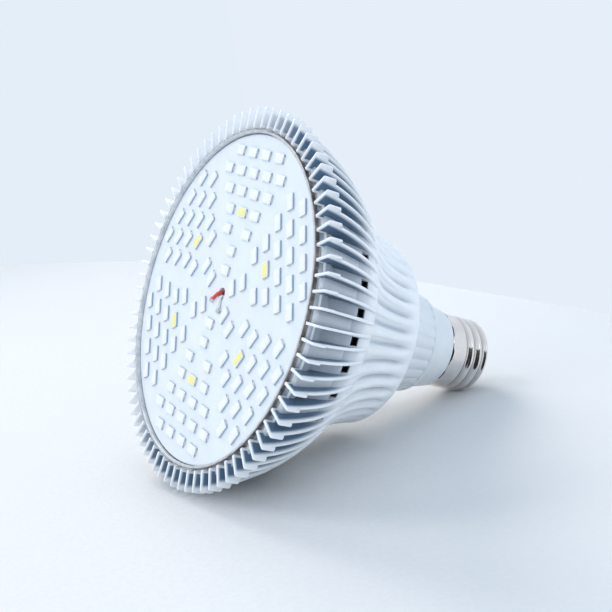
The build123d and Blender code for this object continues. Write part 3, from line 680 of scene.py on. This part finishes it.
# %% A tree that sets a piece on every given place
def on_places():
    """Geometry Nodes: one copy of the piece on each point of a second object."""
    tree = bpy.data.node_groups.new("on_places", "GeometryNodeTree")
    tree.interface.new_socket("Geometry", in_out="INPUT", socket_type="NodeSocketGeometry")
    tree.interface.new_socket("Geometry", in_out="OUTPUT", socket_type="NodeSocketGeometry")
    ids = {"Places": tree.interface.new_socket("Places", in_out="INPUT",
                                               socket_type="NodeSocketObject").identifier,
           "Height": input_of(tree, "Height", "NodeSocketFloat", 0.0),
           "Finish": tree.interface.new_socket("Finish", in_out="INPUT",
                                               socket_type="NodeSocketMaterial").identifier}
    given = add(tree, "NodeGroupInput").outputs
    spots = add(tree, "GeometryNodeObjectInfo", {"Object": given["Places"]})
    lift = add(tree, "ShaderNodeCombineXYZ", {"Z": given["Height"]})
    raised = add(tree, "GeometryNodeSetPosition", {"Geometry": spots.outputs["Geometry"],
                                                   "Offset": lift.outputs[0]})
    copies = add(tree, "GeometryNodeInstanceOnPoints", {"Points": raised.outputs[0],
                                                        "Instance": given["Geometry"]})
    real = add(tree, "GeometryNodeRealizeInstances", {0: copies.outputs[0]})
    done = add(tree, "GeometryNodeSetMaterial", {"Geometry": real.outputs[0],
                                                 "Material": given["Finish"]})
    add(tree, "NodeGroupOutput", {0: done.outputs[0]})
    return tree, ids


spot_tree, spot_ids = on_places()


def spread_over(obj, places, name, finish):
    """Copies of obj on one sector's places, and then the six sectors."""
    marks = bpy.data.meshes.new("marks")
    marks.from_pydata([(x * MM, y * MM, 0) for x, y in places], [], [])
    holder = bpy.data.objects.new("marks", marks)
    bpy.context.scene.collection.objects.link(holder)
    sector = grown(obj, spot_tree, spot_ids, name + "_sector", Places=holder, Height=0.0,
                   Finish=finish)
    bpy.data.objects.remove(holder)
    whole = grown(sector, ring_tree, ring_ids, name, Copies=6, First_turn=0.0, Finish=finish)
    return whole


# %% Finish: LED parts
cup, tree, shader, place = finish_named("white_led_plastic", Roughness=0.42)
# painted shade: the lower part of the cup's sides, near the board, turns blue grey
painted_side_shade = mask(tree, (across_axis(tree, place)[1], 0.74, 0.95))
layered(tree, shader, mottled(tree, place, 1.5, 2, "#EDEFF0", "#F6F7F7"), (painted_side_shade, "#A6B8C9"))
pitted(tree, shader, place, 0.15, 1, 0.01, 0.3)
clear, tree, shader, place = finish_named("clear_silicone", Roughness=0.12, IOR=1.41,
                                          Coat_Weight=0.3)
layered(tree, shader, mottled(tree, place, 3.0, 2, "#F3F4F6", "#FBFBFC"))
pitted(tree, shader, place, 0.8, 1, 0.02, 0.3)
phosphor, tree, shader, place = finish_named("yellow_phosphor_silicone", Roughness=0.3, IOR=1.45)
layered(tree, shader, mottled(tree, place, 0.5, 3, "#FAEF84", "#FFF9AE"))
pitted(tree, shader, place, 0.25, 1, 0.02, 0.3)
foot_metal, tree, shader, place = finish_named("tinned_copper", Metallic=1.0, Roughness=0.3)
layered(tree, shader, mottled(tree, place, 0.6, 3, "#BFC2C6", "#DADCDE"))
pitted(tree, shader, place, 0.3, 2, 0.02, 0.5)
print("made four LED finishes")

# %% One LED: cup, filling and feet
BOARD_FACE, LED_HIGH = 1.4, 0.7


def tablet(half_x, half_y, cut, levels):
    """Rings of eight points: (height, inset) for each level, closed at both ends."""
    points, faces = [], []
    for height, inset in levels:
        x, y = half_x - inset, half_y - inset
        c = max(0.06, cut - inset * 0.2)
        ring = [(x, y - c), (x - c, y), (c - x, y), (-x, y - c), (-x, c - y), (c - x, -y),
                (x - c, -y), (x, c - y)]
        points += [(px, py, BOARD_FACE - height) for px, py in ring]
    for k in range(len(levels) - 1):
        for i in range(8):
            j = (i + 1) % 8
            faces.append([k * 8 + i, k * 8 + j, (k + 1) * 8 + j, (k + 1) * 8 + i])
    last = (len(levels) - 1) * 8
    return points, faces + [list(range(8))[::-1], list(range(last, last + 8))]


points, faces = tablet(1.5, 2.5, 0.09, [(0.02, 0.06), (0.1, 0), (0.64, 0), (0.7, 0.07),
                                        (0.7, 0.3), (0.4, 0.5)])
cups = spread_over(new_piece("led_cup", points, faces, cup), places, "led_cups", cup)
points, faces = tablet(1.2, 2.2, 0.12, [(0.42, 0.15), (0.69, 0.0), (0.75, 0.12), (0.77, 0.45)])
fill = new_piece("led_filling", points, faces, clear)
warm_fill = fill.copy()
warm_fill.data = fill.data.copy()
bpy.context.scene.collection.objects.link(warm_fill)
clears = spread_over(fill, cool, "clear_fillings", clear)
warms = spread_over(warm_fill, warm, "phosphor_fillings", phosphor)
points, faces = tablet(0.95, 2.72, 0.1, [(0.0, 0.0), (0.06, 0.0), (0.3, 0.14), (0.34, 0.2)])
feet = spread_over(new_piece("led_foot", points, faces, foot_metal), places, "led_feet",
                   foot_metal)
settle(cups, "led_body", "led_packages")
settle(clears, "clear_silicone", "colour_windows")
settle(warms, "phosphor_silicone", "warm_windows")
settle(feet, "solder")

# %% [markdown]
# ## The neck
#
# The neck is one white plastic moulding: a smooth ledge against the casting, a belt of
# 28 facets for the fingers with a plain bead behind it, and a smooth taper to the screw
# base. Moulded parts have no sharp corners, so the section is rounded. The facets are
# slightly crowned and meet in sharp creases, which are marked one by one, because they
# are too shallow for the angle that finds the other sharp edges.

# %% Finish: moulded white plastic
plastic, tree, shader, place = finish_named("moulded_white_pbt", Roughness=0.34, IOR=1.5)
radius, height = across_axis(tree, place)
# painted shade: the neck's face behind the shell's slits is near black
painted_slit_shade = mask(tree, (height, 87.9, 87.96), (radius, 13.45, 13.3))
layered(tree, shader, mottled(tree, place, 7.0, 3, "#DFE4E7", "#E6EAEC"), (painted_slit_shade, "#26262A"))
tree.links.new(uneven(tree, place, 3.0, 0.3, 0.4), shader.inputs["Roughness"])
pitted(tree, shader, place, 0.35, 1, 0.012, 0.5)
print("made", plastic.name)

# %% Neck
FACETS, BELT_LOW, BELT_HIGH = 28, 66.42, 76.0
neck_corners = [(15.6, 40.0, 0), (17.3, 40.0, 0.4), (17.3, 57.4, 0), (25.5, 57.4, 0.2),
                (25.5, 59.9, 0.8), (20.0, 59.9, 0.6), (20.0, 66.0, 0.3), (19.6, 66.4, 0.1),
                (19.05, 66.45, 0), (18.85, 67.2, 0), (18.1, 71.0, 0), (17.4, 74.6, 0),
                (17.2, 75.9, 0), (17.5, 76.4, 0.2), (17.3, 77.45, 0.4), (15.6, 77.65, 0.2),
                (15.35, 80.0, 0), (15.0, 82.5, 0), (14.5, 85.0, 0), (14.0, 87.0, 0),
                (13.6, 87.95, 0.3), (12.6, 87.95, 0.1), (12.6, 92.7, 0), (11.7, 92.7, 0),
                (11.7, 98.0, 0.4), (10.3, 98.0, 0.2), (10.3, 86.0, 0), (15.6, 74.0, 0)]
neck_section = fillet(neck_corners, 3)
PER_FACET = 8


def on_belt(r, z):
    return BELT_LOW < z < BELT_HIGH and 17.0 < r < 19.1


def faceted(i, a, r, z):
    """Bulges the belt out between sharp creases, like a ring of narrow pads."""
    if not on_belt(r, z):
        return r, z
    half = pi / FACETS
    off = abs((a + half) % (2 * half) - half) / half
    return r - 0.26 + 0.42 * (1 - (1 - off) ** 2), z


points, faces, rows = turned(neck_section, FACETS * PER_FACET, faceted, ring=True)
neck = new_piece("neck_moulding", points, faces, plastic, crease=24)
corners = {p for (r, z), row in zip(neck_section, rows) if on_belt(r, z)
           for p in row[::PER_FACET]}
sharp = neck.data.attributes["sharp_edge"].data
for e in neck.data.edges:
    if e.vertices[0] in corners and e.vertices[1] in corners:
        sharp[e.index].value = True
settle(neck, "white_plastic", "neck_housing")

# %% [markdown]
# ## The screw shell
#
# The base is drawn from thin brass, its knuckle thread is rolled in, and it is nickel
# plated. The thread climbs 3.63 mm a turn, so the spun section is shifted along the axis
# with the angle. Rolling runs out softly at both ends. The valleys take a slightly darker
# tone, a painted shade. The cut edge of the shell meets the neck unevenly and leaves thin
# slits, and the neck behind them is painted near black, a painted shade.

# %% Finish: nickel-plated brass
nickel, tree, shader, place = finish_named("nickel_plated_brass", Metallic=1.0, Roughness=0.12)
# painted shade: the plating is a little darker below the crests, toward the axis
painted_valley_shade = mask(tree, (across_axis(tree, place)[0], 13.05, 12.25))
layered(tree, shader, mottled(tree, place, 5.0, 3, "#E4DEDB", "#F1EEEC"), (painted_valley_shade, "#CFCBC9"))
tree.links.new(uneven(tree, place, 3.0, 0.09, 0.15, 3), shader.inputs["Roughness"])
pitted(tree, shader, place, 2.5, 2, 0.01, 0.2)
print("made", nickel.name)

# %% Shell with its rolled thread
THREAD_PITCH, VALLEY_R, CREST_R = 3.63, 12.25, 13.2
BAND_END, THREAD_END = 93.4, 104.29
SLIT_PITCH, FIRST_SLIT, SLIT_DEPTH = pi / 5, 3.28, 0.45
shell_z = [89.3 + i * (105.3 - 89.3) / 88 for i in range(89)]
outer = [(13.0, 88.0), (13.5, 88.02), (13.6, 88.2), (13.5, 88.45), (13.0, 88.7)]
outer += [(VALLEY_R, z) for z in shell_z]
outer += [(11.95, 105.7), (11.5, 106.2), (10.6, 107.0), (9.6, 107.75), (9.4, 107.89)]
inner = [(9.1, 107.8), (10.3, 106.8), (11.2, 105.9)]
inner += [(VALLEY_R - 0.35, z) for z in shell_z[::-3]] + [(12.7, 88.6), (12.7, 88.0)]


def threaded(i, a, r, z):
    """Lifts the wall onto the crest of the thread, and bends the front edge open in places."""
    if r in (VALLEY_R, VALLEY_R - 0.35):
        climb = (z - BAND_END) / THREAD_PITCH - a / (2 * pi) + 0.84
        wave = 0.5 - 0.5 * cos(2 * pi * climb)
        run_in = smooth((z - BAND_END + 0.6) / 1.8) * smooth((THREAD_END + 1.5 - z) / 1.5)
        band = 0.82 * (1 - smooth((z - BAND_END - 0.8) / 1.5))
        r += max((CREST_R - VALLEY_R) * wave * run_in, band)
    slit = abs((a - FIRST_SLIT) % SLIT_PITCH / SLIT_PITCH - 0.5) * 2
    if z < 88.8:
        z += SLIT_DEPTH * smooth((0.62 - slit) / 0.3)
    return r, z


points, faces, rows = turned(outer + inner, 144, threaded, ring=True)
shell = settle(new_piece("threaded_shell", points, faces, nickel, crease=50),
               "nickel_plated_brass", "screw_shell")

# %% [markdown]
# ## Insulator and centre contact
#
# A black moulded disc closes the shell, and the nickel-plated contact button sits on
# it. Both are simple turned forms with soft edges.

# %% Insulator and contact
ebony, tree, shader, place = finish_named("black_phenolic", Roughness=0.35, Coat_Weight=0.2)
layered(tree, shader, mottled(tree, place, 1.2, 3, "#1B1B1D", "#29292C"))
pitted(tree, shader, place, 0.4, 2, 0.02, 0.4)
disc = turned(fillet([(0.9, 104.9, 0), (11.1, 104.9, 0.2), (11.1, 105.9, 0.2),
                      (9.05, 107.85, 0.2), (8.9, 108.2, 0.3), (5.8, 110.29, 0.6),
                      (0.9, 110.29, 0)]), 96, ring=True)
disc = settle(new_piece("end_insulator", disc[0], disc[1], ebony), "black_insulator",
              "base_insulator")
button = turned(fillet([(0, 110.29, 0), (4.8, 110.29, 0.1), (4.8, 110.85, 0.3),
                        (3.6, 111.45, 0.8), (1.6, 111.69, 0.5), (0, 111.69, 0)]), 64)
button = settle(new_piece("centre_button", button[0], button[1], nickel),
                "nickel_plated_brass", "centre_contact")

# %% [markdown]
# ## Parts that keep their CAD shape
#
# The two board leads, the solder, the screws and the whole driver are simple forms that
# CAD already has right, so they stay as they are and only get finishes. Each finish is
# one line of a table: two tones, how far they vary, and what the surface is like.

# %% Finishes for the carried parts
KEPT = {
    "red_lead": ("red_pvc_insulation", "#E8362A", "#F4483A", 0.35, 0, 1.0),
    "white_lead": ("white_pvc_insulation", "#E6E6E4", "#F2F2F0", 0.35, 0, 1.0),
    "live_lead": ("black_pvc_insulation", "#1C1C1E", "#2A2A2C", 0.35, 0, 1.0),
    "neutral_lead": ("white_pvc_insulation", "#E6E6E4", "#F2F2F0", 0.35, 0, 1.0),
    "solder_joints": ("tin_solder", "#C6C8CB", "#E2E3E5", 0.25, 1, 0.5),
    "neck_screws": ("zinc_plated_steel", "#B9BCC0", "#D3D5D8", 0.3, 1, 0.8),
    "thermal_pad": ("grey_silicone_pad", "#8E979E", "#9DA6AC", 0.7, 0, 0.8),
    "driver_board": ("epoxy_glass_laminate", "#2F6B45", "#3B7A51", 0.4, 0, 0.9),
    "transformer_core": ("sintered_ferrite", "#2B2B2E", "#3A3A3D", 0.55, 0, 0.5),
    "transformer_coil": ("polyester_coil_tape", "#D9B23A", "#E6C552", 0.4, 0, 1.2),
    "electrolytic_capacitors": ("pvc_capacitor_sleeve", "#20242C", "#2B303A", 0.35, 0, 2.0),
    "film_capacitor": ("polypropylene_capacitor_case", "#C9A62E", "#D8B640", 0.4, 0, 1.0),
    "fuse_resistor": ("cement_resistor_coat", "#7FA4A8", "#93B5B8", 0.5, 0, 0.6),
    "bridge_rectifier": ("moulded_black_epoxy", "#1E1E20", "#2B2B2D", 0.5, 0, 0.4),
    "control_chip": ("moulded_black_epoxy", "#1E1E20", "#2B2B2D", 0.5, 0, 0.4),
    "chip_resistors": ("alumina_ceramic", "#2A2D30", "#D9D6CE", 0.5, 0, 0.7),
}
finishes = {}
for node, (name, dark, light, rough, metal, size) in KEPT.items():
    if name not in finishes:
        finishes[name], tree, shader, place = finish_named(name, Roughness=rough,
                                                           Metallic=float(metal))
        layered(tree, shader, mottled(tree, place, size * 2, 3, dark, light))
        pitted(tree, shader, place, size / 2, 2, 0.02, 0.4)
    nodes[node].data.materials[0] = finishes[name]
print("finishes for carried parts:", len(finishes))

# %% [markdown]
# ## Floor, walls and light
#
# The bulb lies on white paper in a light box. The floor touches it at two places: the
# edge of the fins and the last thread. Those two give the floor's tilt in the CAD frame,
# and its height comes from the lowest point of the finished pieces. Seen from below, the
# paper lets the camera look through, so that other views of the bulb stay free. The
# walls glow evenly to the camera and in reflections, as a lit box does, but they throw
# no more light on the bulb than paper would.

# %% Floor and walls
lean = Vector((cos(radians(70)), -sin(radians(70)), 0))
LAST_CREST_Z = 102.9
contact_a = lean * FIN_TIP + Vector((0, 0, FIN_FRONT_Z))
contact_b = lean * CREST_R + Vector((0, 0, LAST_CREST_Z))
along = (contact_b - contact_a).normalized()
up = -(lean - along * lean.dot(along)).normalized()
lowest = min(up.dot(v.co) for o in (casting, fins, neck, shell) for v in o.data.vertices)
level_ahead = (ahead - up * ahead.dot(up)).normalized()
print("floor tilt from the face of the bulb:", round(degrees(along.angle(Vector((0, 0, 1)))), 1))


def on_floor(px, py):
    """The point of the floor that the camera sees at a pixel of the 612 picture."""
    scale = 36 / LENS_MM / 612
    ray = ahead + right * ((px - 306) * scale) + down * ((py - 306) * scale)
    return EYE + ray * ((lowest - up.dot(EYE)) / up.dot(ray))


def is_ray(tree, *kinds):
    """1 for a ray of one of the kinds that a Light Path node tells apart."""
    path = add(tree, "ShaderNodeLightPath").outputs
    value = path["Is %s Ray" % kinds[0]]
    for kind in kinds[1:]:
        value = add(tree, "ShaderNodeMath", {0: value, 1: path["Is %s Ray" % kind]},
                    operation="MAXIMUM").outputs[0]
    return value


def paper(name, dark, light, glow=None, fade=None):
    """White paper with fine fibres, clear to the camera from behind. glow lights it evenly,
    and fade is the tone that it takes on toward the right."""
    made, tree, shader, place = finish_named(name, Roughness=0.9)
    to_right = add(tree, "ShaderNodeVectorMath", {0: place, 1: right}, operation="DOT_PRODUCT")
    layers = [(mask(tree, (to_right.outputs["Value"], -20, 190)), fade)] if fade else []
    layered(tree, shader, mottled(tree, place, 1.4, 4, dark, light), *layers)
    pitted(tree, shader, place, 0.5, 3, 0.02, 0.3)
    front = shader.outputs[0]
    if glow:
        lit = add(tree, "ShaderNodeEmission", {"Color": paint(glow), "Strength": 1.0})
        looked_at = is_ray(tree, "Camera", "Glossy", "Transmission")
        front = add(tree, "ShaderNodeMixShader", {0: looked_at, 1: front,
                                                  2: lit.outputs[0]}).outputs[0]
    back = add(tree, "ShaderNodeNewGeometry").outputs["Backfacing"]
    see = add(tree, "ShaderNodeMath", {0: is_ray(tree, "Camera"), 1: back}, operation="MULTIPLY")
    glass = add(tree, "ShaderNodeBsdfTransparent")
    mix = add(tree, "ShaderNodeMixShader", {0: see.outputs[0], 1: front, 2: glass.outputs[0]})
    tree.links.new(mix.outputs[0], tree.nodes["Material Output"].inputs["Surface"])
    return made


def sheet_of_paper(name, corners, finish, face_to):
    mesh = bpy.data.meshes.new(name)
    mesh.from_pydata([tuple(c) for c in corners], [], [list(range(len(corners)))])
    mesh.update()
    if mesh.polygons[0].normal.dot(face_to) < 0:
        mesh.flip_normals()
    mesh.materials.append(finish)
    obj = bpy.data.objects.new(name, mesh)
    bpy.context.scene.collection.objects.link(obj)
    return obj


FLOOR_M, WALL_M = 1.6, 1.2
corner = on_floor(272, 257)
left_end, right_end = on_floor(0, 264), on_floor(612, 314)
left_far = corner + (left_end - corner).normalized() * FLOOR_M
right_far = corner + (right_end - corner).normalized() * FLOOR_M
near = EYE - up * (up.dot(EYE) - lowest) - level_ahead * 1.2
sheet_of_paper("floor", [corner, left_far, left_far + (near - corner),
                         right_far + (near - corner), right_far],
               paper("floor_paper", "#DEDDDB", "#E3E2E0", fade="#E0E1E0"), up)
for side, end, glow in (("left", left_far, "#E4EEF8"), ("right", right_far, "#E6EFF9")):
    wall = sheet_of_paper(side + "_wall", [corner, end, end + up * WALL_M, corner + up * WALL_M],
                          paper(side + "_wall_paper", "#E6EEF6", "#ECF2F8", glow), EYE - corner)
    wall.visible_shadow = False
print("corner of the light box is", round((corner - EYE).length, 3), "m from the camera")

# %% [markdown]
# The light is soft daylight. A wide sun behind the bulb on the left throws the shadow
# toward the camera and rims the fins. A nearer window high on the left gives the LEDs
# their small shadows, a large card before the bulb on the left fills its face, and the
# pale room does the rest. Their strengths are set so that a white card renders about as
# white as it is written. Polished metal looks like metal only when it has something dark
# to mirror, so a long dark card leans away from the screw shell on the camera's side.
# Only reflections see it.

# %% Lamps, dark card and world
centre = (cad_low + cad_high) / 2


def lamp(kind, name, sideways, upward, toward, size, strength, colour):
    data = bpy.data.lights.new(name, kind)
    data.energy, data.color = strength, colour
    if kind == "SUN":
        data.angle = size
    else:
        data.shape, data.size = "DISK", size
    obj = bpy.data.objects.new(name, data)
    bpy.context.scene.collection.objects.link(obj)
    spot = centre + right * sideways + up * upward - level_ahead * toward
    obj.location = spot
    obj.rotation_euler = (centre - spot).to_track_quat("-Z", "Y").to_euler()
    return obj


lamp("SUN", "far_window", -0.27, 0.58, -0.95, radians(24), 1.45, (1.0, 0.95, 0.89))
lamp("AREA", "near_window", -0.50, 0.64, -0.22, 0.35, 1.5, (1.0, 0.97, 0.93))
lamp("AREA", "left_card", -0.65, 0.20, 0.42, 0.7, 1.25, (1.0, 0.98, 0.96))
lamp("AREA", "right_card", 0.50, 0.32, 0.40, 0.7, 0.95, (1.0, 0.99, 0.98))
shell_foot = Vector((0, 0, 98 * MM))
shell_foot -= up * (up.dot(shell_foot) - lowest)
corners = [(-0.003, 0.036, 0.001), (0.017, 0.033, 0.001), (0.210, 0.330, 0.240),
           (0.010, 0.400, 0.240)]
corners = [shell_foot + right * a - level_ahead * b + up * c for a, b, c in corners]
card = sheet_of_paper("dark_card", corners, paper("dark_card_paper", "#0F0D0C", "#161312"),
                      shell_foot - corners[3])
card.visible_camera = card.visible_diffuse = card.visible_shadow = False
world = bpy.data.worlds.new("pale_room")
world.use_nodes = True
bpy.context.scene.world = world
tree = world.node_tree
room = tree.nodes["Background"]
room.inputs["Color"].default_value = paint("#CADAEE")
room.inputs["Strength"].default_value = 1.0
seen = add(tree, "ShaderNodeBackground", {"Color": paint("#E5EEF7"), "Strength": 1.0})
mix = add(tree, "ShaderNodeMixShader", {0: is_ray(tree, "Camera", "Glossy", "Transmission"),
                                        1: room.outputs[0], 2: seen.outputs[0]})
tree.links.new(mix.outputs[0], tree.nodes["World Output"].inputs["Surface"])
bpy.context.scene.view_settings.view_transform = "Standard"
